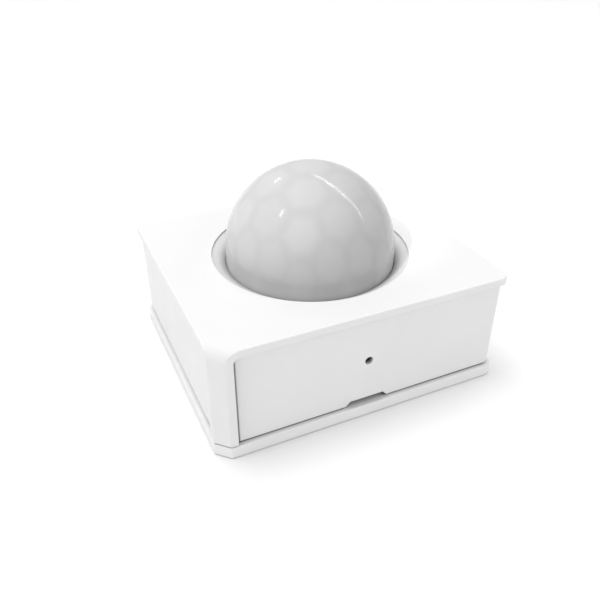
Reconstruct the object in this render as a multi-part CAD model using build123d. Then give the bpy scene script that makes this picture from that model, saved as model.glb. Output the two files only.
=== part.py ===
from build123d import *
import math
import os

# Compact infrared motion sensor, in millimetres. +Z is up, along the dome's axis. The origin is
# the centre of the base cover's underside. The wall with the button hole faces -Y.

# Overall sizes
width = 40.0  # X, over the top cover and the base cover
depth = 35.0  # Y
box_height = 15.6  # from the base cover's underside to the top cover's face
base_thickness = 1.7
cover_thickness = 1.0

# Plan outline: the front-left and rear-right corners are cut, the other two are rounded
corner_cut = 1.65
corner_radius = 1.4
leg_thickness = 0.67
bend_outside = 1.55
bend_inside = 0.65
edge_round = 0.12
seam = 0.18  # between the base cover and what stands over it

# Housing walls
wall = 1.2
wall_setback = 0.5  # from the cover's edge to the wall's face
leg_gap = 0.6
housing_corner_radius = 1.05
cavity_corner_radius = 0.4

# Dome lens and the opening that it stands in
dome_radius = 11.4
dome_rise = 0.6  # from the cover's face up to the half-ball's centre
lens_wall = 0.6  # of the skirt and the foot
lens_crown = 2.1  # of the half-ball, clear over an inner layer of facets
lens_flange_width = 1.9
lens_flange_thickness = 0.8
opening_clearance = 0.12
opening_flare = 1.81  # how much wider the opening is at the cover's face
opening_lip = 0.25
opening_depth = 1.2  # down to the narrow end of the flare
opening_land = 0.2
land_ring_width = 2.6

# Lens retainer
retainer_lip = 0.8
retainer_gap = 0.1
retainer_floor = 1.0

# Circuit board and what clamps it
board_thickness = 1.0
board_gap = 0.5  # from the board's edge to the housing's wall
screw_radius = 0.8
screw_hole_clearance = 0.15
screw_head_radius = 1.4
screw_head_height = 0.9
screw_slot_width = 0.35
screw_slot_length = 1.7
screw_slot_depth = 0.45
screw_tip_gap = 0.1
screw_inset_x = 2.5  # from the housing's cavity wall to the screw's axis
screw_inset_y = 2.4
boss_radius = 1.7
pilot_cap = 0.6  # cover left over the pilot hole
ear_thickness = 1.0
ear_margin = 2.2  # from the screw's axis to the ear's inner edges
rib_thickness = 0.8
rib_height = 0.9
rib_gap = 0.1

# Infrared detector
can_radius = 4.1
can_height = 4.2
can_wall = 0.3
can_flange_radius = 4.6
can_flange_thickness = 0.5
window_x = 4.0
window_y = 3.0
window_thickness = 0.4
spacer_thickness = 0.8
header_thickness = 0.9
lead_radius = 0.225
lead_circle_radius = 2.54
lead_turns = (0, 90, 180)  # degrees from +X
lead_hole_clearance = 0.15
lead_stub = 0.5  # below the circuit board
element_size = 2.2
element_thickness = 0.5

# Coin cell, its holder and contacts
cell_radius = 12.25
cell_height = 5.0
cell_skin = 0.25
cell_round = 0.5
cell_cap_inset = 1.55  # from the can's side to the cap's
cell_crimp_width = 1.15
cell_cap_depth = 2.5
cell_cap_proud = 0.3
cell_top_gap = 1.4  # from the circuit board down to the cell's face
cell_gap = 0.2  # from the cell's side to the holder
cell_wall_gap = 0.2  # from the holder to the housing's rear wall
holder_wall = 1.05
holder_reach = 0.2  # how far the cell stands out of the holder's mouth
seat_width = 1.6
seat_gap = 0.05
finger_slot = 9.0
contact_thickness = 0.2
contact_width = 4.0
contact_gap = 0.05
contact_foot = 3.2
leaf_seat_gap = 1.65  # from the leaf's foot to the holder's seat
leaf_length = 5.0

# Reset button and its switch
button_height = 8.4  # above the origin
button_radius = 0.5
button_clearance = 0.05
button_recess = 0.85
button_round = 0.08
button_collar_radius = 1.3
button_collar = 0.7
button_back_gap = 0.05
plunger_radius = 0.75
plunger_clearance = 0.05
plunger_reach = 1.05
plunger_tail = 0.9
button_travel = 0.25
switch_width = 4.2
switch_body_depth = 2.0
switch_below_axis = 1.4
switch_leg_width = 0.7
switch_leg_reach = 0.6
switch_leg_thickness = 0.2

# Pry notch in the front wall's lower edge
notch_low_width = 6.0
notch_high_width = 4.75
notch_height = 0.7
notch_clear = 1.6  # how much further the base cover's rim stays away on each side

# Base cover
rim_gap = 0.12
rim_thickness = 1.0
rim_height = 2.7
rim_corner_clear = 4.3  # from the cavity's corner to the end of each rim
detent_proud = 0.07
detent_length = 5.0
detent_height = 0.8
detent_drop = 0.8  # from the rim's top to the bar
post_radius = 1.2
post_circle_radius = 8.0
post_turns = (30, 150, 270)  # degrees from +X
post_gap = 0.1
wall_screw_radius = 1.6
wall_screw_sink_radius = 2.8
wall_screw_sink_depth = 1.0
wall_screw_inset = 5.8  # from the cover's edge to the hole's axis
pad_thickness = 0.8
pad_gap = 0.1
pad_margin = 1.2  # between a wall screw's hole and the pad's pocket
pad_end_inset = 4.0

# Parts on the circuit board
led_size = (1.6, 0.8, 0.7)
led_x = 3.5
radio_size = (7.0, 4.8, 0.6)
radio_x = -10.4
part_wall_gap = 0.5  # from the housing's wall to a part beside it
shield_size = (5.4, 4.0, 1.4)
shield_skin = 0.2
antenna_size = (3.2, 1.6, 1.1)
antenna_x = 9.0
crystal_size = (3.2, 1.6, 0.7)
crystal_gap = 0.6
chip_size = (3.0, 4.0, 1.1)
chip_lift = 0.1
chip_leg_size = (0.35, 0.6, 0.6)
chip_leg_pitch = 0.65
chip_legs_each_side = 4
bulk_size = (2.8, 2.8, 1.8)
small_size = (0.5, 1.0, 0.5)
small_gap = 1.1
resistor_count = 6
capacitor_count = 3

tiny = 0.001  # how near two places count as one

# Heights and places that follow from the sizes above
root_two = math.sqrt(2)
parallel_step = 2 - root_two  # how much a cut shortens for each unit that an outline moves in
cover_underside = box_height - cover_thickness
leg_bottom = base_thickness + seam
leg_back_cut = corner_cut + leg_thickness * root_two
housing_cut = leg_back_cut + leg_gap * root_two - 2 * wall_setback
cavity_inset = wall_setback + wall
cavity_x = width / 2 - cavity_inset
cavity_y = depth / 2 - cavity_inset
wall_face_y = -depth / 2 + wall_setback
dome_centre = box_height + dome_rise
opening_narrow = dome_radius + opening_clearance
opening_wide = opening_narrow + opening_flare
land_bottom = box_height - opening_depth - opening_land
flange_bottom = land_bottom - lens_flange_thickness
flange_radius = dome_radius + lens_flange_width
board_top = flange_bottom - retainer_floor
board_bottom = board_top - board_thickness
ear_top = board_top + ear_thickness
screw_x = cavity_x - screw_inset_x
screw_y = cavity_y - screw_inset_y
can_bottom = board_top + spacer_thickness
cell_face = board_bottom - cell_top_gap
cell_floor = cell_face - cell_height
holder_radius = cell_radius + cell_gap + holder_wall
cell_y = cavity_y - cell_wall_gap - holder_radius
collar_front = -cavity_y + button_back_gap
plunger_front = collar_front + button_collar
switch_front = plunger_front + plunger_reach
wall_screw_x = width / 2 - wall_screw_inset
pad_x = wall_screw_x - wall_screw_radius - pad_margin
pad_y = depth / 2 - pad_end_inset
retainer_inner = dome_radius - lens_wall
cell_cap_radius = cell_radius - cell_cap_inset
cell_crimp_radius = cell_radius - cell_crimp_width
chip_x = (can_flange_radius + retainer_inner) / 2


def box(x0, x1, y0, y1, z0, z1):
    """Block between two limits on each axis."""
    centre = Pos((x0 + x1) / 2, (y0 + y1) / 2, (z0 + z1) / 2)
    return centre * Box(x1 - x0, y1 - y0, z1 - z0)


def disc(radius, z0, z1, x=0.0, y=0.0):
    """Upright cylinder between two heights."""
    return Pos(x, y, (z0 + z1) / 2) * Cylinder(radius, z1 - z0)


def rod(radius, y0, y1, x, z):
    """Cylinder along Y between two depths."""
    return Pos(x, (y0 + y1) / 2, z) * Rot(90, 0, 0) * Cylinder(radius, y1 - y0)


def ring(outer, inner, z0, z1, x=0.0, y=0.0):
    """Upright tube between two heights."""
    return disc(outer, z0, z1, x, y) - disc(inner, z0, z1, x, y)


def outline(inset, cut, radius):
    """Plan outline moved in from the cover's edge: two opposite corners cut, two rounded."""
    face = Rectangle(width - 2 * inset, depth - 2 * inset)
    face = chamfer([v for v in face.vertices() if v.X * v.Y > 0], cut)
    return fillet([v for v in face.vertices() if v.X * v.Y < 0], radius)


def inner_outline(inset):
    """Plan outline that stays parallel to the housing's walls at the cut corners."""
    cut = housing_cut - (inset - wall_setback) * parallel_step
    return outline(inset, cut, cavity_corner_radius)


def prism(face, z0, z1):
    """Plan outline raised between two heights."""
    return extrude(Pos(0, 0, z0) * face, amount=z1 - z0)


def soften(part, *heights):
    """Rounds the edges that lie at some heights."""
    edges = [part.edges().filter_by_position(Axis.Z, z - tiny, z + tiny) for z in heights]
    return fillet([edge for level in edges for edge in level], edge_round)


def is_diagonal(edge):
    """Whether an edge is straight and runs along a cut corner."""
    along = edge % 0
    return edge.geom_type == GeomType.LINE and abs(abs(along.X) - abs(along.Y)) < tiny


def corner_edges(part, height):
    """Edges at one height that run along the cut corners."""
    level = part.edges().filter_by_position(Axis.Z, height - tiny, height + tiny)
    return [edge for edge in level if is_diagonal(edge)]


def four_corners():
    """Places of the board screws."""
    return [(x, y) for x in (-screw_x, screw_x) for y in (-screw_y, screw_y)]


def make_top_cover():
    """Plate with the flared lens opening, and a leg turned down at each cut corner."""
    body = prism(outline(0, corner_cut, corner_radius), leg_bottom, box_height)
    body = fillet(corner_edges(body, box_height), bend_outside)
    top_face = body.faces().sort_by(Axis.Z)[-1]
    body = fillet([edge for edge in top_face.edges() if not is_diagonal(edge)], edge_round)
    reach = corner_radius
    under_face = outline(-reach, leg_back_cut + 2 * reach, corner_radius)
    under = prism(under_face, leg_bottom - reach, cover_underside)
    under = fillet(corner_edges(under, cover_underside), bend_inside)
    cover = body - under
    cover += disc(opening_narrow + land_ring_width, land_bottom, cover_underside)
    cover += make_cover_rib()
    for x, y in four_corners():
        cover += disc(boss_radius, ear_top, cover_underside, x, y)
    for x, y in four_corners():
        cover -= disc(screw_radius, ear_top, box_height - pilot_cap, x, y)
    flare_height = opening_depth - opening_lip
    flare_middle = box_height - opening_lip - flare_height / 2
    cover -= Pos(0, 0, flare_middle) * Cone(opening_narrow, opening_wide, flare_height)
    cover -= disc(opening_wide, box_height - opening_lip, box_height)
    return cover - disc(opening_narrow, land_bottom, box_height)


def make_cover_rib():
    """Low rib under the plate that centres the housing."""
    outer = cavity_inset + rib_gap
    low = cover_underside - rib_height
    rib = prism(inner_outline(outer), low, cover_underside)
    return rib - prism(inner_outline(outer + rib_thickness), low, cover_underside)


def make_housing():
    """Four walls with screw ears, the button hole and the pry notch."""
    outer = outline(wall_setback, housing_cut, housing_corner_radius)
    cavity = inner_outline(cavity_inset)
    walls = soften(prism(outer, leg_bottom, cover_underside), leg_bottom)
    walls -= prism(cavity, leg_bottom, cover_underside)
    for x, y in four_corners():
        side_x = math.copysign(1, x)
        side_y = math.copysign(1, y)
        x_ends = sorted((x - side_x * ear_margin, side_x * width / 2))
        y_ends = sorted((y - side_y * ear_margin, side_y * depth / 2))
        ear = box(*x_ends, *y_ends, board_top, ear_top) & prism(cavity, board_top, ear_top)
        hole = disc(screw_radius + screw_hole_clearance, board_top, ear_top, x, y)
        walls += ear - hole
    walls -= rod(button_radius + button_clearance, wall_face_y, -cavity_y, 0, button_height)
    return walls - make_notch()


def make_notch():
    """Wedge-ended block that cuts the pry notch out of the front wall."""
    low, high = leg_bottom, leg_bottom + notch_height
    corners = [
        (-notch_low_width / 2, low),
        (notch_low_width / 2, low),
        (notch_high_width / 2, high),
        (-notch_high_width / 2, high),
    ]
    face = Plane.XZ * make_face(Polyline(*corners, close=True))
    return Pos(0, -cavity_y, 0) * extrude(face, amount=wall)


def make_base_cover():
    """Plate with rims that slide into the housing, cell posts, wall screw holes and pad pocket."""
    base = soften(prism(outline(0, corner_cut, corner_radius), 0, base_thickness), 0, base_thickness)
    for rim in rim_blocks():
        base += rim
    for turn in post_turns:
        place = Vector(post_circle_radius, 0).rotate(Axis.Z, turn)
        base += disc(post_radius, base_thickness, cell_floor - post_gap, place.X, cell_y + place.Y)
    for x in (-wall_screw_x, wall_screw_x):
        base -= disc(wall_screw_radius, 0, base_thickness, x)
        sink_middle = base_thickness - wall_screw_sink_depth / 2
        sink = Cone(wall_screw_radius, wall_screw_sink_radius, wall_screw_sink_depth)
        base -= Pos(x, 0, sink_middle) * sink
    return base - box(-pad_x, pad_x, -pad_y, pad_y, 0, pad_thickness)


def rim_blocks():
    """Straight rims along the four walls, open behind the pry notch, each with a detent bar."""
    low, high = base_thickness, base_thickness + rim_height
    outer_x, outer_y = cavity_x - rim_gap, cavity_y - rim_gap
    end_x, end_y = cavity_x - rim_corner_clear, cavity_y - rim_corner_clear
    gap_x = notch_low_width / 2 + notch_clear
    bar_high = high - detent_drop
    bar_low = bar_high - detent_height
    blocks = []
    for side in (-1, 1):
        x_ends = sorted((side * outer_x, side * (outer_x - rim_thickness)))
        bar_x = sorted((side * outer_x, side * (outer_x + detent_proud)))
        blocks.append(box(*x_ends, -end_y, end_y, low, high))
        blocks.append(box(*bar_x, -detent_length / 2, detent_length / 2, bar_low, bar_high))
        front_x = sorted((side * gap_x, side * end_x))
        blocks.append(box(*front_x, -outer_y, -outer_y + rim_thickness, low, high))
    blocks.append(box(-end_x, end_x, outer_y - rim_thickness, outer_y, low, high))
    bar_y = (outer_y, outer_y + detent_proud)
    blocks.append(box(-detent_length / 2, detent_length / 2, *bar_y, bar_low, bar_high))
    return blocks


def make_adhesive_pad():
    """Foam pad flush with the base cover's underside."""
    half_x, half_y = pad_x - pad_gap, pad_y - pad_gap
    return box(-half_x, half_x, -half_y, half_y, 0, pad_thickness)


def half_ball(radius, low):
    """Half-ball on a straight skirt that starts at a height."""
    ball = Pos(0, 0, dome_centre) * Sphere(radius)
    top = box(-radius, radius, -radius, radius, dome_centre, dome_centre + radius)
    return (ball & top) + disc(radius, low, dome_centre)


def make_dome_lens():
    """Hollow dome, thick over its half-ball, with a flange under the cover."""
    lens = half_ball(dome_radius, flange_bottom)
    lens += disc(flange_radius, flange_bottom, land_bottom)
    lens -= half_ball(dome_radius - lens_crown, flange_bottom)
    return lens - disc(dome_radius - lens_wall, flange_bottom, dome_centre)


def make_lens_retainer():
    """Ring on the circuit board that holds the lens flange up and centres it."""
    lip_inner = flange_radius + retainer_gap
    lip_top = land_bottom - retainer_gap
    floor = ring(lip_inner + retainer_lip, retainer_inner, board_top, flange_bottom)
    return floor + ring(lip_inner + retainer_lip, lip_inner, flange_bottom, lip_top)


def make_pir_can():
    """Metal can with a flange and a window opening in its top."""
    top = can_bottom + can_height
    can = disc(can_radius, can_bottom, top)
    can += disc(can_flange_radius, can_bottom, can_bottom + can_flange_thickness)
    can -= disc(can_radius - can_wall, can_bottom, top - can_wall)
    return can - box(-window_x / 2, window_x / 2, -window_y / 2, window_y / 2, can_bottom, top)


def make_pir_window():
    """Filter window with a step, seated in the can's opening from inside."""
    top = can_bottom + can_height
    step = top - can_wall
    half_x, half_y = window_x / 2, window_y / 2
    pane = box(-half_x, half_x, -half_y, half_y, step, top)
    return pane + box(
        -half_x - can_wall,
        half_x + can_wall,
        -half_y - can_wall,
        half_y + can_wall,
        step - window_thickness,
        step,
    )


def lead_places():
    """Places of the detector's three leads."""
    places = [Vector(lead_circle_radius, 0).rotate(Axis.Z, turn) for turn in lead_turns]
    return [(place.X, place.Y) for place in places]


def make_pir_header():
    """Disc that closes the can's underside, with the leads through it."""
    header = disc(can_radius - can_wall, can_bottom, can_bottom + header_thickness)
    for x, y in lead_places():
        header -= disc(lead_radius, can_bottom, can_bottom + header_thickness, x, y)
    return header


def make_pir_elements():
    """Sensing plate on a carrier that stands on the header."""
    low = can_bottom + header_thickness
    high = can_bottom + can_height - can_wall - window_thickness
    middle = high - element_thickness
    plate_low = middle - element_thickness
    half = element_size / 2
    stem = box(-half / 2, half / 2, -half, half, low, plate_low)
    return stem + box(-half, half, -half, half, plate_low, middle)


def make_pir_leads():
    """Three leads from above the header to below the circuit board."""
    low, high = board_bottom - lead_stub, can_bottom + header_thickness
    return Compound([disc(lead_radius, low, high, x, y) for x, y in lead_places()])


def make_pir_spacer():
    """Plastic spacer that lifts the can off the circuit board."""
    spacer = disc(can_flange_radius, board_top, can_bottom)
    for x, y in lead_places():
        spacer -= disc(lead_radius + lead_hole_clearance, board_top, can_bottom, x, y)
    return spacer


def make_circuit_board():
    """Board that follows the housing's walls, with holes for the screws and leads."""
    board = prism(inner_outline(cavity_inset + board_gap), board_bottom, board_top)
    for x, y in four_corners():
        board -= disc(screw_radius + screw_hole_clearance, board_bottom, board_top, x, y)
    for x, y in lead_places():
        board -= disc(lead_radius + lead_hole_clearance, board_bottom, board_top, x, y)
    return board


def make_board_screws():
    """Four screws with cross slots, up through the board and the ears into the cover."""
    tip = box_height - pilot_cap - screw_tip_gap
    low = board_bottom - screw_head_height
    screws = []
    for x, y in four_corners():
        screw = disc(screw_head_radius, low, board_bottom, x, y)
        screw += disc(screw_radius, board_bottom, tip, x, y)
        for half_x, half_y in (
            (screw_slot_length / 2, screw_slot_width / 2),
            (screw_slot_width / 2, screw_slot_length / 2),
        ):
            top = low + screw_slot_depth
            screw -= box(x - half_x, x + half_x, y - half_y, y + half_y, low, top)
        screws.append(screw)
    return Compound(screws)


def make_battery_holder():
    """Ring under the board that the cell is pushed up into, open for contacts and fingers."""
    low = cell_floor + holder_reach
    inner = cell_radius + cell_gap
    holder = ring(holder_radius, inner, low, board_bottom, 0, cell_y)
    seat_low = cell_face + seat_gap
    holder += ring(inner, inner - seat_width, seat_low, board_bottom, 0, cell_y)
    half = finger_slot / 2
    reach = holder_radius
    holder -= box(-reach, -inner + seat_width, cell_y - half, cell_y + half, low, cell_face)
    half = contact_width / 2 + contact_gap
    slot_inner = inner - 2 * seat_width
    return holder - box(slot_inner, reach, cell_y - half, cell_y + half, low, board_bottom)


def make_positive_contact():
    """Upright spring strip beside the cell's can, with a foot under the board."""
    inner = cell_radius + contact_gap
    half = contact_width / 2
    y_ends = (cell_y - half, cell_y + half)
    foot_low = board_bottom - contact_thickness
    strip = box(inner, inner + contact_thickness, *y_ends, cell_floor + holder_reach, board_bottom)
    foot_inner = inner + contact_thickness - contact_foot
    return strip + box(foot_inner, inner, *y_ends, foot_low, board_bottom)


def make_negative_contact():
    """Leaf spring under the board that bears on the cell's cap."""
    half = contact_width / 2
    foot_low = board_bottom - contact_thickness
    tip_low = cell_face + contact_gap
    foot_y = cell_y + cell_radius + cell_gap - seat_width - leaf_seat_gap
    start_y = foot_y - contact_foot
    end_y = start_y - leaf_length
    profile = [
        (foot_y, board_bottom),
        (foot_y, foot_low),
        (start_y, foot_low),
        (end_y, tip_low),
        (end_y - contact_foot / 2, tip_low),
        (end_y - contact_foot / 2, tip_low + contact_thickness),
        (end_y, tip_low + contact_thickness),
        (start_y, board_bottom),
    ]
    face = Plane.YZ * make_face(Polyline(*profile, close=True))
    return Pos(-half, 0, 0) * extrude(face, amount=contact_width)


def make_cell_can():
    """Positive can of the coin cell, face down, crimped in at its top."""
    crimp_top = cell_face - cell_cap_proud
    can = disc(cell_radius, cell_floor, crimp_top, 0, cell_y)
    can = fillet(can.edges().sort_by(Axis.Z)[0], cell_round)
    inner = cell_radius - cell_skin
    can -= disc(inner, cell_floor + cell_skin, crimp_top - cell_skin, 0, cell_y)
    return can - disc(cell_crimp_radius, crimp_top - cell_skin, crimp_top, 0, cell_y)


def make_cell_seal():
    """Seal ring between the can and the cap."""
    crimp_top = cell_face - cell_cap_proud
    low = cell_floor + cell_skin
    seal = ring(cell_radius - cell_skin, cell_cap_radius, low, crimp_top - cell_skin, 0, cell_y)
    neck = ring(cell_crimp_radius, cell_cap_radius, crimp_top - cell_skin, crimp_top, 0, cell_y)
    return seal + neck


def make_cell_cap():
    """Negative cap of the coin cell."""
    low = cell_face - cell_cap_depth
    cap = disc(cell_cap_radius, low, cell_face, 0, cell_y)
    return cap - disc(cell_cap_radius - cell_skin, low, cell_face - cell_skin, 0, cell_y)


def make_cell_core():
    """Contents of the coin cell."""
    low, high = cell_floor + cell_skin, cell_face - cell_skin
    return disc(cell_cap_radius - cell_skin, low, high, 0, cell_y)


def make_reset_button():
    """Translucent pin in the front hole, with a collar behind the wall."""
    front = wall_face_y + button_recess
    pin = rod(button_radius, front, collar_front, 0, button_height)
    pin = fillet(pin.edges().sort_by(Axis.Y)[0], button_round)
    return pin + rod(button_collar_radius, collar_front, plunger_front, 0, button_height)


def make_switch_plunger():
    """Plunger between the button's collar and the switch's inside."""
    return rod(plunger_radius, plunger_front, switch_front + plunger_tail, 0, button_height)


def make_switch_body():
    """Side-acting push switch that hangs under the board."""
    half = switch_width / 2
    low = button_height - switch_below_axis
    body = box(-half, half, switch_front, switch_front + switch_body_depth, low, board_bottom)
    bore_end = switch_front + plunger_tail + 2 * button_travel
    return body - rod(plunger_radius + plunger_clearance, switch_front, bore_end, 0, button_height)


def make_switch_legs():
    """Four solder legs beside the switch."""
    low = board_bottom - switch_leg_thickness
    legs = []
    for side in (-1, 1):
        x_ends = sorted((side * switch_width / 2, side * (switch_width / 2 + switch_leg_reach)))
        for y in (switch_front, switch_front + switch_body_depth - switch_leg_width):
            legs.append(box(*x_ends, y, y + switch_leg_width, low, board_bottom))
    return Compound(legs)


def under_board(size, x, y, drop=0.0):
    """Block that hangs under the board, its top a drop below the board."""
    high = board_bottom - drop
    half_x, half_y = size[0] / 2, size[1] / 2
    return box(x - half_x, x + half_x, y - half_y, y + half_y, high - size[2], high)


def front_row(size_y):
    """Middle of a part that stands beside the front wall."""
    return -cavity_y + part_wall_gap + size_y / 2


def make_status_led():
    """Light beside the button's collar."""
    return under_board(led_size, led_x, front_row(led_size[1]))


def make_radio_board():
    """Radio module's own small board."""
    return under_board(radio_size, radio_x, front_row(radio_size[1]))


def make_radio_shield():
    """Open-topped metal can on the radio module."""
    y = front_row(radio_size[1])
    shield = under_board(shield_size, radio_x, y, radio_size[2])
    inner = (
        shield_size[0] - 2 * shield_skin,
        shield_size[1] - 2 * shield_skin,
        shield_size[2] - shield_skin,
    )
    return shield - under_board(inner, radio_x, y, radio_size[2])


def make_chip_antenna():
    """Ceramic antenna at the front edge of the board."""
    return under_board(antenna_size, antenna_x, front_row(antenna_size[1]))


def make_crystal_can():
    """Crystal behind the antenna."""
    y = front_row(antenna_size[1]) + antenna_size[1] / 2 + crystal_gap + crystal_size[1] / 2
    return under_board(crystal_size, antenna_x, y)


def make_chip_body():
    """Detector amplifier beside the can."""
    low = board_top + chip_lift
    half_x, half_y = chip_size[0] / 2, chip_size[1] / 2
    return box(chip_x - half_x, chip_x + half_x, -half_y, half_y, low, low + chip_size[2])


def make_chip_legs():
    """Two rows of legs beside the amplifier."""
    legs = []
    span = chip_leg_pitch * (chip_legs_each_side - 1)
    for index in range(chip_legs_each_side):
        x = chip_x - span / 2 + index * chip_leg_pitch
        x_ends = (x - chip_leg_size[0] / 2, x + chip_leg_size[0] / 2)
        for side in (-1, 1):
            start = side * chip_size[1] / 2
            y_ends = sorted((start, start + side * chip_leg_size[1]))
            legs.append(box(*x_ends, *y_ends, board_top, board_top + chip_leg_size[2]))
    return Compound(legs)


def make_bulk_capacitor():
    """Large capacitor in the rear-right corner, inside the screw."""
    x = cavity_x - part_wall_gap - bulk_size[0] / 2
    y = screw_y - screw_head_radius - part_wall_gap - bulk_size[1] / 2
    return under_board(bulk_size, x, y)


def small_part_row(side, count):
    """Row of small parts along one side wall, under the board."""
    x = side * (cavity_x - part_wall_gap - board_gap - small_size[0] / 2)
    first = -screw_y + screw_head_radius + part_wall_gap + small_size[1] / 2
    pitch = small_gap + small_size[1]
    return Compound([under_board(small_size, x, first + index * pitch) for index in range(count)])


def main():
    os.makedirs("parts", exist_ok=True)
    nodes = {
        "top_cover": make_top_cover(),
        "housing": make_housing(),
        "base_cover": make_base_cover(),
        "adhesive_pad": make_adhesive_pad(),
        "dome_lens": make_dome_lens(),
        "lens_retainer": make_lens_retainer(),
        "pir_can": make_pir_can(),
        "pir_window": make_pir_window(),
        "pir_header": make_pir_header(),
        "pir_elements": make_pir_elements(),
        "pir_leads": make_pir_leads(),
        "pir_spacer": make_pir_spacer(),
        "circuit_board": make_circuit_board(),
        "board_screws": make_board_screws(),
        "battery_holder": make_battery_holder(),
        "positive_contact": make_positive_contact(),
        "negative_contact": make_negative_contact(),
        "cell_can": make_cell_can(),
        "cell_seal": make_cell_seal(),
        "cell_cap": make_cell_cap(),
        "cell_core": make_cell_core(),
        "reset_button": make_reset_button(),
        "switch_plunger": make_switch_plunger(),
        "switch_body": make_switch_body(),
        "switch_legs": make_switch_legs(),
        "status_led": make_status_led(),
        "radio_board": make_radio_board(),
        "radio_shield": make_radio_shield(),
        "chip_antenna": make_chip_antenna(),
        "crystal_can": make_crystal_can(),
        "chip_body": make_chip_body(),
        "chip_legs": make_chip_legs(),
        "bulk_capacitor": make_bulk_capacitor(),
        "small_resistors": small_part_row(-1, resistor_count),
        "small_capacitors": small_part_row(1, capacitor_count),
    }
    for name, shape in nodes.items():
        export_step(shape, f"parts/{name}.step")


main()
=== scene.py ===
"""Looks of the compact motion sensor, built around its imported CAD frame. Metres, +Z up."""

import math
import random

import bmesh
import bpy
from mathutils import Matrix, Vector


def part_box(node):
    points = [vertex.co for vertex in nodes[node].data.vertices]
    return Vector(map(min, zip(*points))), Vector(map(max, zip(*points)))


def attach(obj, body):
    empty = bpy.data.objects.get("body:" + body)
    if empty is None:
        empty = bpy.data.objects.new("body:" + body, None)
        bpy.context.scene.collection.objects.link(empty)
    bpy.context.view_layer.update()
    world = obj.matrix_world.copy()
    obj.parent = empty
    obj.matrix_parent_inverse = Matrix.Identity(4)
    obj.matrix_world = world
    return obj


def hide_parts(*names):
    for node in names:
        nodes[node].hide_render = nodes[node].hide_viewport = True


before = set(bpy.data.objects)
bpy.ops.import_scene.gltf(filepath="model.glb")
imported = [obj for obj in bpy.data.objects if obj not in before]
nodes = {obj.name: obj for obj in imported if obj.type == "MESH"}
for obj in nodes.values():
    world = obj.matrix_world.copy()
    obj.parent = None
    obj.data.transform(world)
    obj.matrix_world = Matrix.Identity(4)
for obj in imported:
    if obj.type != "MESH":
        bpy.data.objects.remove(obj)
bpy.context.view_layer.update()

MM = 0.001

# Camera: the direction that it looks from, in degrees, and its distance from the aim point
VIEW_AZIMUTH = -24.76  # from -Y towards +X
VIEW_ELEVATION = 33.0
VIEW_DISTANCE = 87.06 * MM
VIEW_LENS = 38.32
VIEW_SENSOR = 36.0
AIM_RIGHT = -1.34 * MM  # aim point from the middle of the cover's face, across the view
AIM_UP = -7.04 * MM  # and up the view

# Dome lens
DOME_RADIUS = 11.4 * MM
DOME_CROWN = 2.1 * MM  # how thick the half-ball is
SKIRT_WALL = 0.6 * MM
FLANGE_THICKNESS = 0.8 * MM
LENS_ROUND = 0.1 * MM
DOME_AROUND = 360
DOME_STEPS = 110
FACET_PITCH = 28.5  # degrees between the middles of two facets at the dome's top
FACET_TURN = 58.7  # azimuth of one of the six facets next to the top one
FACET_RELIEF = 0.12 * MM  # how far the borders between the facets stand out of the inner face
FACET_BORDER = 0.12  # half-width of a border at half its height, as a share of the pitch
TONE_SEED = 11

# Floor
FLOOR_SIZE = 4000 * MM
FLOOR_GAP = 0.02 * MM  # under the base cover

# Light: directions are an azimuth from +X towards +Y and an elevation, in degrees
BRIGHT_SIDE = (150, 35)  # of the brightest part of the studio's walls
DIM_WALL = 0.71
BRIGHT_WALL = 0.88
LAMP_DISTANCE = 600 * MM
SNOOT_RADIUS = 4 * MM
SNOOT_REACH = 13.0 * MM  # half-width of its pool of light at the dome
SNOOT_RISE = 3.0 * MM  # how far above the dome's centre it aims
SNOOT_BLEND = 0.5
KEY_SIZE = 300 * MM
STRIP_WIDTH = 22 * MM

# Small parts
TIN_OVER = 0.02 * MM  # how far a soldered end cap stands out over its part
TIN_ROUND = 0.05 * MM
CAP_SHARE = 0.28  # of a small part's length that each end cap covers
WIDE_CAP_SHARE = 0.2
SOLDER_AROUND = 32
SOLDER_RADIUS = 0.55 * MM  # of a cone where it meets the board
SOLDER_FOOT = 0.04 * MM  # height of the straight rim under the board
SOLDER_STEPS = 6
LEAD_TIP_SHARE = 0.15  # of a lead's length under the board that stays bare
LEAD_COVER = 1.05  # how much wider than the lead the solder ends
WELD = 0.001 * MM  # points nearer than this are one point
BLOCK_FACES = ((0, 1, 3, 2), (4, 6, 7, 5), (0, 4, 5, 1), (2, 3, 7, 6), (0, 2, 6, 4), (1, 5, 7, 3))

# Shader samples
BEVEL_SAMPLES = 6
CREVICE_SAMPLES = 8

# Painted shade in narrow gaps and recesses: how far open space is looked for, and the share of
# it at which a face's colour is painted fully dark and left fully light
SEAM_SHADE = {"reach": 4.0 * MM, "shut": 0.2, "open_from": 0.3}
RECESS_SHADE = {"reach": 2.2 * MM, "shut": 0.08, "open_from": 0.64}
PAINTED_CREVICE_SHADE = 0.04  # what is left of the colour where shade is painted deepest

# Plastics
SPARK_GRAIN = 0.006 * MM
EDGE_ROUND = 0.08 * MM

# Relief and worn edges of the other finishes
EDGE_COSINES = (0.85, 0.98)  # of the turn at an edge that is fully worn, and at one not worn
SMALL_EDGE = 0.05 * MM
METAL_EDGE = 0.06 * MM
METAL_GRAIN = 0.003 * MM
TURNED_RINGS = 0.004 * MM
FOAM_PITS = 0.05 * MM
BODY_GRAIN = 0.006 * MM
GLASS_WAVES = 0.002 * MM
TRACK_HEIGHT = 0.03 * MM
RESIN_GRAIN = 0.004 * MM

cover_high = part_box("top_cover")[1]
lens_low, lens_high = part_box("dome_lens")


# ---------------------------------------------------------------------------------------------
# Materials. Their coordinates are each object's own, in millimetres.


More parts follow.
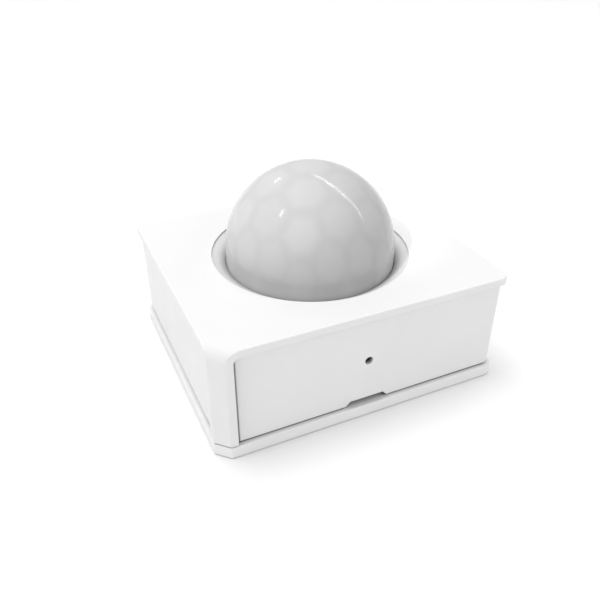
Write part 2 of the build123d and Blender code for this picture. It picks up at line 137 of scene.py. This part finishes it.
class Finish:
    """One procedural material: a principled shader and the nodes that feed it."""

    def __init__(self, name, **sockets):
        self.material = bpy.data.materials.new(name)
        self.material.use_nodes = True
        self.tree = self.material.node_tree
        self.shader = self.tree.nodes["Principled BSDF"]
        for socket, value in sockets.items():
            self.shader.inputs[socket.replace("_", " ")].default_value = value
        coordinates = self.tree.nodes.new("ShaderNodeTexCoord")
        self.place = self.node("ShaderNodeMapping", Vector=coordinates.outputs["Object"])
        self.place.inputs["Scale"].default_value = (1 / MM, 1 / MM, 1 / MM)

    def node(self, kind, settings=None, **inputs):
        """A node with its settings, and its inputs linked or set."""
        made = self.tree.nodes.new(kind)
        for name, value in (settings or {}).items():
            setattr(made, name, value)
        for name, value in inputs.items():
            socket = made.inputs[name.replace("_", " ")]
            if isinstance(value, bpy.types.NodeSocket):
                self.tree.links.new(value, socket)
            else:
                socket.default_value = value
        return made

    def feed(self, socket, value):
        """Links a node's output to a socket of the shader."""
        self.tree.links.new(value, self.shader.inputs[socket])

    def stretched(self, scale):
        """Coordinates in millimetres, scaled by axis."""
        made = self.node("ShaderNodeMapping", Vector=self.place.outputs[0])
        made.inputs["Scale"].default_value = scale
        return made.outputs[0]

    def noise(self, scale, detail=3.0, vector=None, distortion=0.0):
        """Noise whose features are 1 / scale millimetres apart."""
        made = self.node(
            "ShaderNodeTexNoise",
            Vector=vector or self.place.outputs[0],
            Scale=scale,
            Detail=detail,
            Distortion=distortion,
        )
        return made.outputs["Fac"]

    def spread(self, value, low, high, start=0.3, end=0.7):
        """A value from start to end turned into one from low to high."""
        made = self.node("ShaderNodeMapRange", Value=value)
        limits = zip(("From Min", "From Max", "To Min", "To Max"), (start, end, low, high))
        for name, limit in limits:
            made.inputs[name].default_value = limit
        return made.outputs[0]

    def mix(self, amount, first, second):
        """Colour between two others."""
        made = self.node("ShaderNodeMix", {"data_type": "RGBA"})
        for index, value in ((0, amount), (6, first), (7, second)):
            if isinstance(value, bpy.types.NodeSocket):
                self.tree.links.new(value, made.inputs[index])
            else:
                made.inputs[index].default_value = value
        return made.outputs[2]

    def math(self, operation, first, second=0.0):
        """Result of an operation on one or two numbers or outputs."""
        made = self.node("ShaderNodeMath", {"operation": operation})
        for index, value in enumerate((first, second)):
            if isinstance(value, bpy.types.NodeSocket):
                self.tree.links.new(value, made.inputs[index])
            else:
                made.inputs[index].default_value = value
        return made.outputs[0]

    def crevice_shade_mask(self, reach, shut, open_from):
        """Mask for painted shade, from ambient occlusion: 0 deep in a narrow gap, where the colour is
        painted darkest, to 1 on an open face.
        """
        made = self.node("ShaderNodeAmbientOcclusion", {"samples": CREVICE_SAMPLES}, Distance=reach)
        return self.spread(made.outputs["AO"], 0.0, 1.0, shut, open_from)

    def edge_wear(self, radius):
        """From 0 on a flat face to 1 along a sharp edge."""
        made = self.node("ShaderNodeVectorMath", {"operation": "DOT_PRODUCT"})
        self.tree.links.new(self.rounded(radius), made.inputs[0])
        self.tree.links.new(self.node("ShaderNodeNewGeometry").outputs["Normal"], made.inputs[1])
        return self.spread(made.outputs["Value"], 1.0, 0.0, *EDGE_COSINES)

    def axes(self):
        """X, Y and Z of each object's own coordinates, in millimetres."""
        return self.node("ShaderNodeSeparateXYZ", Vector=self.place.outputs[0]).outputs

    def rounded(self, radius):
        """Normal that rounds sharp edges to a radius."""
        return self.node("ShaderNodeBevel", {"samples": BEVEL_SAMPLES}, Radius=radius).outputs[0]

    def bump(self, height, distance, normal=None):
        """Relief whose full height is a distance in metres."""
        made = self.node("ShaderNodeBump", Height=height, Distance=distance)
        if normal:
            self.tree.links.new(normal, made.inputs["Normal"])
        return made.outputs[0]


def grey(value, warmth=0.0):
    """Neutral colour, a little warm when warmth is above zero."""
    return (value, value * (1 - warmth / 2), value * (1 - warmth), 1.0)


def darker(color, share):
    """Colour scaled by a share, which may be above one."""
    return tuple(c * share for c in color[:3]) + (1.0,)


def moulded(name, color, roughness=0.42, painted_shade=SEAM_SHADE):
    """Moulded plastic: spark-eroded grain, faint flow marks, rubbed edges, and shade painted into its
    colour in narrow gaps and recesses.
    """
    finish = Finish(name, IOR=1.49)
    flow = finish.spread(finish.noise(0.09, detail=2.0, distortion=0.6), 0.0, 1.0)
    face = finish.mix(flow, color, darker(color, 0.975))
    # Shade painted into the colour: darker where ambient occlusion finds little open space
    unshaded_share = finish.crevice_shade_mask(**painted_shade)
    finish.feed("Base Color", finish.mix(unshaded_share, darker(color, PAINTED_CREVICE_SHADE), face))
    rubbed = finish.spread(finish.noise(0.35, detail=5.0), roughness - 0.05, roughness + 0.06)
    scuffs = finish.noise(1.5, vector=finish.stretched((1.0, 9.0, 4.0)))
    rubbed = finish.math("SUBTRACT", rubbed, finish.spread(scuffs, 0.0, 0.04, 0.55, 0.75))
    worn = finish.math("MULTIPLY", finish.edge_wear(EDGE_ROUND), 0.12)
    finish.feed("Roughness", finish.math("SUBTRACT", rubbed, worn))
    fine = finish.noise(9.0, detail=2.0)
    finish.feed("Normal", finish.bump(fine, SPARK_GRAIN, normal=finish.rounded(EDGE_ROUND)))
    return finish.material


def milky_lens(name):
    """Glossy milky polyethylene, a little denser along the borders of the facets inside."""
    finish = Finish(name, IOR=1.51)
    border = finish.node("ShaderNodeAttribute", {"attribute_name": "facet_border"}).outputs["Fac"]
    tone = finish.node("ShaderNodeAttribute", {"attribute_name": "facet_tone"}).outputs["Fac"]
    cloudy = finish.spread(finish.noise(0.5, detail=3.0), 0.0, 0.35)
    face = finish.mix(tone, grey(0.43), grey(0.455))
    face = finish.mix(cloudy, face, grey(0.44, 0.01))
    finish.feed("Base Color", finish.mix(finish.math("MULTIPLY", border, 0.8), face, grey(0.408)))
    finish.feed("Roughness", finish.spread(finish.noise(0.8), 0.10, 0.14))
    finish.feed("Normal", finish.bump(finish.noise(0.7, detail=1.0), GLASS_WAVES))
    return finish.material


def metal(name, color, roughness, grain=(1.0, 1.0, 1.0), tarnish=0.85):
    """Rolled or plated metal: grain along one axis, cloudy tarnish, brighter worn edges."""
    finish = Finish(name, Metallic=1.0)
    cloud = finish.spread(finish.noise(0.6, detail=4.0), 0.0, 1.0)
    face = finish.mix(cloud, color, darker(color, tarnish))
    worn = finish.edge_wear(METAL_EDGE)
    finish.feed("Base Color", finish.mix(worn, face, darker(color, 1.08)))
    lines = finish.noise(6.0, detail=4.0, vector=finish.stretched(grain))
    smooth = finish.spread(lines, roughness - 0.06, roughness + 0.08)
    finish.feed("Roughness", finish.math("ADD", smooth, finish.math("MULTIPLY", cloud, 0.06)))
    finish.feed("Normal", finish.bump(lines, METAL_GRAIN, normal=finish.rounded(SMALL_EDGE)))
    return finish.material


def turned_steel(name, color, centre):
    """Cell steel with fine rings around an upright axis, and a few scratches from handling."""
    finish = Finish(name, Metallic=1.0)
    middle = finish.node("ShaderNodeVectorMath", {"operation": "SUBTRACT"})
    finish.tree.links.new(finish.place.outputs[0], middle.inputs[0])
    middle.inputs[1].default_value = (centre.x / MM, centre.y / MM, 0.0)
    flat = finish.node("ShaderNodeVectorMath", {"operation": "MULTIPLY"})
    finish.tree.links.new(middle.outputs[0], flat.inputs[0])
    flat.inputs[1].default_value = (1.0, 1.0, 0.0)
    radius = finish.node("ShaderNodeVectorMath", {"operation": "LENGTH"})
    finish.tree.links.new(flat.outputs[0], radius.inputs[0])
    rings = finish.node("ShaderNodeTexNoise", {"noise_dimensions": "1D"}, W=radius.outputs["Value"])
    rings.inputs["Scale"].default_value = 14.0
    rings.inputs["Detail"].default_value = 4.0
    scratches = finish.noise(2.0, vector=finish.stretched((1.0, 14.0, 1.0)), distortion=0.8)
    scratched = finish.spread(scratches, 0.0, 1.0, 0.66, 0.70)
    cloud = finish.spread(finish.noise(0.3, detail=4.0), 0.0, 1.0)
    face = finish.mix(cloud, color, darker(color, 0.88))
    finish.feed("Base Color", finish.mix(scratched, face, darker(color, 1.1)))
    ringed = finish.spread(rings.outputs["Fac"], 0.18, 0.34)
    finish.feed("Roughness", finish.math("ADD", ringed, finish.math("MULTIPLY", scratched, 0.12)))
    finish.feed("Normal", finish.bump(rings.outputs["Fac"], TURNED_RINGS))
    return finish.material


def foam(name, color):
    """Closed-cell foam with a matt, pitted face, and shade painted darker into its pits."""
    finish = Finish(name, Roughness=0.9)
    pits = finish.node("ShaderNodeTexVoronoi", Vector=finish.place.outputs[0], Scale=3.2)
    pit_depth_and_shade = finish.spread(pits.outputs["Distance"], 0.0, 1.0, 0.05, 0.5)
    cloud = finish.spread(finish.noise(0.4, detail=3.0), 0.0, 1.0)
    face = finish.mix(cloud, color, darker(color, 0.93))
    # Shade painted into the colour: the pits are darker towards their middles
    finish.feed("Base Color", finish.mix(pit_depth_and_shade, darker(color, 0.72), face))
    finish.feed("Normal", finish.bump(pit_depth_and_shade, FOAM_PITS))
    return finish.material


def grainy(name, color, speck, roughness, scale=5.0, **sockets):
    """Fired, cast or sintered body with specks and a fine grain."""
    finish = Finish(name, **sockets)
    specks = finish.spread(finish.noise(scale, detail=5.0), 0.0, 1.0, 0.5, 0.72)
    dusty = finish.spread(finish.noise(0.8, detail=3.0), 0.0, 0.35)
    face = finish.mix(specks, color, speck)
    face = finish.mix(finish.edge_wear(SMALL_EDGE), face, darker(color, 1.25))
    finish.feed("Base Color", finish.mix(dusty, face, darker(color, 0.85)))
    rough = finish.spread(finish.noise(1.3, detail=4.0), roughness - 0.07, roughness + 0.08)
    finish.feed("Roughness", rough)
    fine = finish.noise(scale * 2, detail=3.0)
    finish.feed("Normal", finish.bump(fine, BODY_GRAIN, normal=finish.rounded(SMALL_EDGE)))
    return finish.material


def filter_glass(name):
    """Dark coated silicon with a faint bloom."""
    finish = Finish(name, IOR=1.9)
    bloom = finish.spread(finish.noise(0.5, detail=2.0), 0.0, 1.0)
    dark, blue = (0.018, 0.014, 0.022, 1.0), (0.03, 0.035, 0.07, 1.0)
    finish.feed("Base Color", finish.mix(bloom, dark, blue))
    finish.feed("Roughness", finish.spread(finish.noise(2.0, detail=5.0), 0.06, 0.16))
    finish.feed("Normal", finish.bump(finish.noise(0.6, detail=1.0), GLASS_WAVES))
    return finish.material


def printed_board(name, mask):
    """Circuit board: solder mask over copper tracks, tinned vias, glass fibre at the sides."""
    finish = Finish(name, IOR=1.5)
    x, y, _ = finish.axes()
    blocks = finish.node(
        "ShaderNodeTexVoronoi",
        {"distance": "CHEBYCHEV", "voronoi_dimensions": "2D"},
        Vector=finish.place.outputs[0],
        Scale=0.3,
    )
    turned = finish.node("ShaderNodeSeparateColor", Color=blocks.outputs["Color"]).outputs[0]
    turned = finish.math("GREATER_THAN", turned, 0.5)
    along = finish.math("MULTIPLY", y, finish.math("SUBTRACT", 1.0, turned))
    along = finish.math("ADD", along, finish.math("MULTIPLY", x, turned))
    wave = finish.math("PINGPONG", finish.math("MULTIPLY", along, 1.5), 0.5)
    tracks = finish.spread(wave, 0.0, 1.0, 0.26, 0.3)
    vias = finish.node(
        "ShaderNodeTexVoronoi",
        {"voronoi_dimensions": "2D"},
        Vector=finish.place.outputs[0],
        Scale=0.42,
    )
    tinned = finish.spread(vias.outputs["Distance"], 1.0, 0.0, 0.11, 0.13)
    facing = finish.node("ShaderNodeNewGeometry").outputs["Normal"]
    upright = finish.node("ShaderNodeSeparateXYZ", Vector=facing).outputs[2]
    printed = finish.math("GREATER_THAN", finish.math("ABSOLUTE", upright), 0.5)
    tinned = finish.math("MULTIPLY", tinned, printed)
    face = finish.mix(tracks, mask, darker(mask, 1.9))
    face = finish.mix(tinned, face, (0.72, 0.70, 0.64, 1.0))
    layers = finish.noise(3.0, detail=3.0, vector=finish.stretched((0.3, 0.3, 7.0)))
    fibre = finish.mix(finish.spread(layers, 0, 1), (0.42, 0.36, 0.2, 1), (0.6, 0.54, 0.34, 1))
    finish.feed("Base Color", finish.mix(printed, fibre, face))
    finish.feed("Metallic", tinned)
    rough = finish.spread(finish.noise(1.5, detail=4.0), 0.28, 0.42)
    side = finish.math("MULTIPLY", finish.math("SUBTRACT", 1.0, printed), 0.4)
    finish.feed("Roughness", finish.math("ADD", rough, side))
    raised = finish.math("ADD", tracks, tinned)
    finish.feed("Normal", finish.bump(raised, TRACK_HEIGHT))
    return finish.material


def clear_resin(name, color, transmission, roughness=0.2):
    """Translucent resin or plastic with a cloudy inside, and shade painted into its colour where it
    stands deep in a hole.
    """
    finish = Finish(name, IOR=1.5, Transmission_Weight=transmission)
    cloud = finish.spread(finish.noise(1.2, detail=4.0), 0.0, 1.0)
    face = finish.mix(cloud, color, darker(color, 0.9))
    # Shade painted into the colour: darker where ambient occlusion finds little open space
    unshaded_share = finish.crevice_shade_mask(**SEAM_SHADE)
    finish.feed("Base Color", finish.mix(unshaded_share, darker(color, PAINTED_CREVICE_SHADE), face))
    rough = finish.spread(finish.noise(2.5, detail=3.0), roughness - 0.05, roughness + 0.1)
    finish.feed("Roughness", rough)
    fine = finish.noise(4.0, detail=2.0)
    finish.feed("Normal", finish.bump(fine, RESIN_GRAIN, normal=finish.rounded(SMALL_EDGE)))
    return finish.material


# ---------------------------------------------------------------------------------------------
# Pieces


def add_mesh(name, verts, faces, smooth=True):
    """Object made from points and faces."""
    mesh = bpy.data.meshes.new(name)
    mesh.from_pydata(verts, [], faces)
    mesh.validate()
    if smooth:
        mesh.shade_smooth()
    piece = bpy.data.objects.new(name, mesh)
    bpy.context.scene.collection.objects.link(piece)
    return piece


def hex_cell(x, y):
    """Nearest middle of a hexagonal lattice of pitch 1, and the distance to the cell's border."""
    rows = math.sqrt(3) / 2
    best = []
    for row in (math.floor(y / rows), math.floor(y / rows) + 1):
        shift = 0.5 * (row % 2)
        for column in (math.floor(x - shift), math.floor(x - shift) + 1):
            middle = (column + shift, row * rows)
            best.append((math.hypot(x - middle[0], y - middle[1]), middle))
    best.sort()
    near, middle = best[0]
    border = min(
        0.5 - ((x - middle[0]) * math.cos(turn) + (y - middle[1]) * math.sin(turn))
        for turn in (math.radians(60 * side) for side in range(6))
    )
    return middle, border


def facet_at(theta, azimuth):
    """Facet under a direction from the dome's centre: its middle, and how near its border is."""
    turn = azimuth - math.radians(FACET_TURN)
    reach = math.degrees(theta) / FACET_PITCH
    return hex_cell(reach * math.cos(turn), reach * math.sin(turn))


def soft_step(value, start, end):
    """Smooth turn from 0 at start to 1 at end."""
    share = min(1.0, max(0.0, (value - start) / (end - start)))
    return share * share * (3 - 2 * share)


def revolve(name, rings, tips):
    """Closed skin through rings of equally many points, with a tip at each end."""
    verts = [point for ring in rings for point in ring]
    around = len(rings[0])
    faces = []
    for level in range(len(rings) - 1):
        first, second = level * around, (level + 1) * around
        for index in range(around):
            after = (index + 1) % around
            faces.append((first + index, second + index, second + after, first + after))
    for tip, start, flip in ((tips[0], 0, False), (tips[1], len(verts) - around, True)):
        verts.append(tip)
        for index in range(around):
            face = (len(verts) - 1, start + index, start + (index + 1) % around)
            faces.append(face[::-1] if flip else face)
    return add_mesh(name, verts, faces)


def ball_ring(reach, theta, centre):
    """Ring of a dome at an angle from its top; reach is a number or a function of direction."""
    points = []
    for index in range(DOME_AROUND):
        azimuth = 2 * math.pi * index / DOME_AROUND
        length = reach(theta, azimuth) if callable(reach) else reach
        x = length * math.sin(theta) * math.cos(azimuth)
        y = length * math.sin(theta) * math.sin(azimuth)
        points.append((x, y, centre + length * math.cos(theta)))
    return points


def flat_ring(radius, z):
    """Level ring around the axis."""
    return ball_ring(radius, math.pi / 2, z)


def dome_rings(reach, centre, downwards=True):
    """Rings of a dome from next to its top down to its rim, or back up."""
    thetas = [math.pi / 2 * step / DOME_STEPS for step in range(1, DOME_STEPS + 1)]
    return [ball_ring(reach, t, centre) for t in (thetas if downwards else reversed(thetas))]


def facet_reach(theta, azimuth):
    """Distance of the dome's inner face from its centre."""
    border = facet_at(theta, azimuth)[1]
    return DOME_RADIUS - DOME_CROWN + FACET_RELIEF * (soft_step(border, 0.0, 2 * FACET_BORDER) - 1)


def make_lens(centre):
    """Smooth half-ball on a skirt with a flange, divided into hexagonal facets inside."""
    low, high = lens_low.z, lens_low.z + FLANGE_THICKNESS
    edge, inner = lens_high.x, DOME_RADIUS - SKIRT_WALL
    profile = [
        (DOME_RADIUS, high + LENS_ROUND),
        (DOME_RADIUS + LENS_ROUND, high),
        (edge - LENS_ROUND, high),
        (edge, high - LENS_ROUND),
        (edge, low + LENS_ROUND),
        (edge - LENS_ROUND, low),
        (inner + LENS_ROUND, low),
        (inner, low + LENS_ROUND),
        (inner, centre - LENS_ROUND),
        (inner - LENS_ROUND, centre),
    ]
    rings = dome_rings(DOME_RADIUS, centre) + [flat_ring(*place) for place in profile]
    rings += dome_rings(facet_reach, centre, downwards=False)
    tips = ((0, 0, centre + DOME_RADIUS), (0, 0, centre + facet_reach(0, 0)))
    piece = revolve("lens_shell", rings, tips)
    mark_facets(piece, centre)
    return piece


def mark_facets(piece, centre):
    """Stores on each point how near a facet's border it is, and its facet's own tone."""
    rng = random.Random(TONE_SEED)
    tones, marks, shades = {}, [], []
    for vertex in piece.data.vertices:
        x, y, z = vertex.co.x, vertex.co.y, max(0.0, vertex.co.z - centre)
        theta = math.atan2(math.hypot(x, y), z)
        middle, border = facet_at(theta, math.atan2(y, x))
        key = (round(middle[0], 2), round(middle[1], 2))
        if key not in tones:
            tones[key] = rng.random()
        marks.append(1 - soft_step(border, 0.0, 2 * FACET_BORDER))
        shades.append(tones[key])
    for name, values in (("facet_border", marks), ("facet_tone", shades)):
        piece.data.attributes.new(name, "FLOAT", "POINT").data.foreach_set("value", values)


def islands(node):
    """Low and high corners of each separate solid of a CAD node."""
    piece = nodes[node]
    mesh = bmesh.new()
    mesh.from_mesh(piece.data)
    bmesh.ops.remove_doubles(mesh, verts=mesh.verts, dist=WELD)
    left, boxes = set(mesh.verts), []
    while left:
        todo, group = [left.pop()], []
        while todo:
            vert = todo.pop()
            group.append(piece.matrix_world @ vert.co)
            near = [edge.other_vert(vert) for edge in vert.link_edges]
            todo += [other for other in near if other in left]
            left.difference_update(near)
        low = Vector([min(point[axis] for point in group) for axis in range(3)])
        high = Vector([max(point[axis] for point in group) for axis in range(3)])
        boxes.append((low, high))
    mesh.free()
    return sorted(boxes, key=lambda box: tuple(box[0]))


def rounded_blocks(name, boxes, radius):
    """Blocks with rounded edges, joined into one piece."""
    mesh = bmesh.new()
    for low, high in boxes:
        corners = [(x, y, z) for x in (low.x, high.x) for y in (low.y, high.y) for z in (low.z, high.z)]
        made = [mesh.verts.new(corner) for corner in corners]
        for face in BLOCK_FACES:
            mesh.faces.new([made[index] for index in face])
    bmesh.ops.bevel(mesh, geom=mesh.edges[:], offset=radius, segments=3, affect="EDGES", profile=0.5)
    data = bpy.data.meshes.new(name)
    mesh.to_mesh(data)
    mesh.free()
    data.shade_smooth()
    piece = bpy.data.objects.new(name, data)
    bpy.context.scene.collection.objects.link(piece)
    return piece


def make_end_caps(name, node, share):
    """Tinned caps over both ends of each small part, each a share of the part's length."""
    caps = []
    for low, high in islands(node):
        size = high - low
        along = 1 if size.y > size.x else 0
        over = Vector((TIN_OVER, TIN_OVER, TIN_OVER))
        length = size[along] * share
        first, second = (low - over, high + over), (low - over, high + over)
        first[1][along] = low[along] + length
        second[0][along] = high[along] - length
        for corner_low, corner_high in (first, second):
            corner_high.z = high.z
            caps.append((corner_low, corner_high))
    return rounded_blocks(name, caps, TIN_ROUND)


def make_solder_cones(name, node, board_z, radius):
    """Solder drawn up each lead under the board, in one piece."""
    verts, faces = [], []
    for low, high in islands(node):
        middle = (low + high) / 2
        lead = (high.x - low.x) / 2
        tip = low.z + (board_z - low.z) * LEAD_TIP_SHARE
        profile = [(radius, board_z), (radius, board_z - SOLDER_FOOT)]
        for step in range(1, SOLDER_STEPS + 1):
            share = step / SOLDER_STEPS
            reach = lead * LEAD_COVER + (radius - lead) * (1 - share) ** 2
            profile.append((reach, board_z + (tip - board_z) * share))
        start = len(verts)
        for reach, z in profile:
            for index in range(SOLDER_AROUND):
                turn = 2 * math.pi * index / SOLDER_AROUND
                verts.append((middle.x + reach * math.cos(turn), middle.y + reach * math.sin(turn), z))
        for level in range(len(profile) - 1):
            for index in range(SOLDER_AROUND):
                after = (index + 1) % SOLDER_AROUND
                a, b = start + level * SOLDER_AROUND, start + (level + 1) * SOLDER_AROUND
                faces.append((a + index, a + after, b + after, b + index))
        last = start + (len(profile) - 1) * SOLDER_AROUND
        faces.append(tuple(range(start + SOLDER_AROUND - 1, start - 1, -1)))
        faces.append(tuple(range(last, last + SOLDER_AROUND)))
    return add_mesh(name, verts, faces)


# ---------------------------------------------------------------------------------------------
# Stage


def make_floor():
    """Plain pale floor just under the base cover."""
    half = FLOOR_SIZE / 2
    verts = [(-half, -half, 0), (half, -half, 0), (half, half, 0), (-half, half, 0)]
    floor = add_mesh("floor", verts, [(0, 1, 2, 3)], smooth=False)
    finish = Finish("floor_paint", Roughness=0.85)
    finish.feed("Base Color", finish.mix(finish.noise(0.02), grey(0.93), grey(0.915)))
    floor.data.materials.append(finish.material)
    floor.location.z = -FLOOR_GAP


def make_world():
    """Studio walls, a little brighter at the back on the left than at the front right."""
    world = bpy.data.worlds.new("studio")
    world.use_nodes = True
    tree = world.node_tree
    place = tree.nodes.new("ShaderNodeTexCoord")
    side = tree.nodes.new("ShaderNodeVectorMath")
    side.operation = "DOT_PRODUCT"
    side.inputs[1].default_value = direction(*BRIGHT_SIDE)
    tree.links.new(place.outputs["Generated"], side.inputs[0])
    glow = tree.nodes.new("ShaderNodeMapRange")
    limits = (-1.0, 1.0, DIM_WALL, BRIGHT_WALL)
    for name, limit in zip(("From Min", "From Max", "To Min", "To Max"), limits):
        glow.inputs[name].default_value = limit
    tree.links.new(side.outputs["Value"], glow.inputs["Value"])
    background = tree.nodes["Background"]
    background.inputs["Color"].default_value = grey(1.0)
    tree.links.new(glow.outputs[0], background.inputs["Strength"])
    bpy.context.scene.world = world


def direction(azimuth, elevation):
    """Unit vector at an azimuth from +X towards +Y and an elevation, in degrees."""
    a, e = math.radians(azimuth), math.radians(elevation)
    return Vector((math.cos(a) * math.cos(e), math.sin(a) * math.cos(e), math.sin(e)))


def add_window(name, place, size, power):
    """Round soft light at an azimuth and elevation."""
    back = direction(*place)
    across = Vector((0, 0, 1)).cross(back).normalized()
    return add_lamp(name, back, across, (size, size), power)


def add_glint(name, start, end, width, power):
    """Narrow light between two directions."""
    start, end = direction(*start), direction(*end)
    back = (start + end).normalized()
    length = 2 * LAMP_DISTANCE * math.tan(start.angle(end) / 2)
    across = (end - start).cross(back).normalized()
    return add_lamp(name, back, across, (width, length), power)


def add_lamp(name, back, across, size, power):
    """Elliptical area light that faces the dome's middle, its first side along across."""
    light = bpy.data.lights.new(name, "AREA")
    light.shape = "ELLIPSE"
    light.size, light.size_y = size
    light.energy = power
    lamp = bpy.data.objects.new(name, light)
    bpy.context.scene.collection.objects.link(lamp)
    aim = Vector((0, 0, lens_high.z - DOME_RADIUS))
    turn = Matrix((across, back.cross(across), back)).transposed()
    lamp.matrix_world = Matrix.Translation(aim + back * LAMP_DISTANCE) @ turn.to_4x4()
    return lamp


def add_snoot(name, place, power):
    """Narrow spot light that falls on the dome alone."""
    light = bpy.data.lights.new(name, "SPOT")
    light.energy = power
    light.shadow_soft_size = SNOOT_RADIUS
    light.spot_size = 2 * math.atan(SNOOT_REACH / LAMP_DISTANCE)
    light.spot_blend = SNOOT_BLEND
    lamp = bpy.data.objects.new(name, light)
    bpy.context.scene.collection.objects.link(lamp)
    back = direction(*place)
    aim = Vector((0, 0, lens_high.z - DOME_RADIUS + SNOOT_RISE))
    lamp.matrix_world = Matrix.Translation(aim + back * LAMP_DISTANCE) @ (
        back.to_track_quat("Z", "Y").to_matrix().to_4x4()
    )
    return lamp


def make_lights():
    """Soft key light from above, a spot on the dome, a bowed strip and two small windows."""
    add_snoot("dome_spot", (195, 48), 8.0).visible_glossy = False
    add_window("key", (140, 75), KEY_SIZE, 1.12).visible_glossy = False
    add_glint("right_strip_far", (62, 49), (22, 58.5), STRIP_WIDTH, 0.1)
    add_glint("right_strip_middle", (40, 57), (-6, 49.5), STRIP_WIDTH, 0.13)
    add_glint("right_strip_near", (6, 54), (-22, 26), STRIP_WIDTH, 0.15)
    add_glint("left_window", (180, 48), (170, 58), 25 * MM, 0.1)
    add_glint("back_window", (102, 37), (92, 36), 20 * MM, 0.045)


def make_camera():
    """Camera that looks down at the front and the left side."""
    a, e = math.radians(VIEW_AZIMUTH), math.radians(VIEW_ELEVATION)
    back = Vector((math.sin(a) * math.cos(e), -math.cos(a) * math.cos(e), math.sin(e)))
    right = Vector((math.cos(a), math.sin(a), 0))
    up = back.cross(right)
    aim = Vector((0, 0, cover_high.z)) + right * AIM_RIGHT + up * AIM_UP
    data = bpy.data.cameras.new("camera")
    data.lens = VIEW_LENS
    data.sensor_width = VIEW_SENSOR
    data.clip_start = 1 * MM
    camera = bpy.data.objects.new("camera", data)
    bpy.context.scene.collection.objects.link(camera)
    camera.matrix_world = Matrix.Translation(aim + back * VIEW_DISTANCE) @ Matrix(
        (right, up, back)
    ).transposed().to_4x4()
    bpy.context.scene.camera = camera


# ---------------------------------------------------------------------------------------------
# Everything in its place


def paint(node, material):
    """Gives every slot of a CAD node the same material."""
    for slot in nodes[node].material_slots:
        slot.material = material
    if not nodes[node].material_slots:
        nodes[node].data.materials.append(material)


white = moulded("cover_plastic", grey(0.83), painted_shade=RECESS_SHADE)
inner_white = moulded("inner_plastic", grey(0.66, 0.05), roughness=0.5)
black_plastic = moulded("holder_plastic", grey(0.035), roughness=0.48)
nickel = metal("nickel", grey(0.66, 0.06), 0.26, grain=(1.0, 8.0, 1.0))
spring = metal("spring_metal", grey(0.62, 0.09), 0.3, grain=(9.0, 1.0, 1.0))
tin = metal("tin", grey(0.72, 0.02), 0.34, grain=(1.0, 1.0, 1.0), tarnish=0.75)
ceramic = grainy("ceramic", grey(0.7, 0.06), grey(0.5, 0.1), 0.55)
board_mask = (0.012, 0.085, 0.035, 1.0)
cell_middle = sum(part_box("cell_can"), Vector()) / 2
cell_steel = turned_steel("cell_steel", grey(0.68, 0.03), cell_middle)

FINISHES = {
    "top_cover": white,
    "housing": moulded("housing_plastic", grey(0.82)),
    "base_cover": moulded("base_plastic", grey(0.86)),
    "adhesive_pad": foam("pad_foam", grey(0.62, 0.03)),
    "dome_lens": milky_lens("lens_plastic"),
    "lens_retainer": inner_white,
    "pir_can": nickel,
    "pir_window": filter_glass("filter_glass"),
    "pir_header": nickel,
    "pir_elements": ceramic,
    "pir_leads": metal("gold_pin", (0.83, 0.6, 0.25, 1.0), 0.26, grain=(1.0, 1.0, 6.0)),
    "pir_spacer": moulded("spacer_plastic", grey(0.05), roughness=0.5),
    "circuit_board": printed_board("board", board_mask),
    "board_screws": metal("screw_steel", grey(0.5, 0.05), 0.36, grain=(1.0, 1.0, 9.0)),
    "battery_holder": black_plastic,
    "positive_contact": spring,
    "negative_contact": spring,
    "cell_can": cell_steel,
    "cell_seal": grainy("cell_seal", grey(0.06), grey(0.1), 0.5),
    "cell_cap": cell_steel,
    "cell_core": grainy("cell_filling", grey(0.04), grey(0.09), 0.75),
    "reset_button": clear_resin("button_plastic", grey(0.9), 0.12),
    "switch_plunger": grainy("plunger_plastic", grey(0.6, 0.02), grey(0.52), 0.45),
    "switch_body": grainy("switch_black", grey(0.03), grey(0.06), 0.42),
    "switch_legs": tin,
    "status_led": clear_resin("led_resin", (0.9, 0.86, 0.62, 1.0), 0.6),
    "radio_board": printed_board("radio_mask", (0.01, 0.03, 0.09, 1.0)),
    "radio_shield": nickel,
    "chip_antenna": ceramic,
    "crystal_can": nickel,
    "chip_body": grainy("chip_resin", grey(0.028), grey(0.07), 0.5, scale=8.0),
    "chip_legs": tin,
    "bulk_capacitor": grainy("capacitor_resin", (0.5, 0.26, 0.07, 1.0), (0.4, 0.2, 0.06, 1), 0.45),
    "small_resistors": grainy("resistor_body", grey(0.04), grey(0.5), 0.4, scale=3.0),
    "small_capacitors": grainy("capacitor_body", (0.36, 0.25, 0.15, 1), (0.3, 0.2, 0.12, 1), 0.5),
}
for node, finish in FINISHES.items():
    paint(node, finish)

lens = make_lens(lens_high.z - DOME_RADIUS)
lens.data.materials.append(FINISHES["dome_lens"])
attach(lens, "sensor")
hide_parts("dome_lens")

board_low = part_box("circuit_board")[0].z
tinned = [
    make_end_caps("resistor_ends", "small_resistors", CAP_SHARE),
    make_end_caps("capacitor_ends", "small_capacitors", CAP_SHARE),
    make_end_caps("bulk_ends", "bulk_capacitor", WIDE_CAP_SHARE),
    make_end_caps("led_ends", "status_led", WIDE_CAP_SHARE),
    make_solder_cones("lead_solder", "pir_leads", board_low, SOLDER_RADIUS),
]
for piece in tinned:
    piece.data.materials.append(tin)
    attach(piece, "sensor")

make_floor()
make_world()
make_lights()
make_camera()
bpy.context.scene.view_settings.view_transform = "Standard"
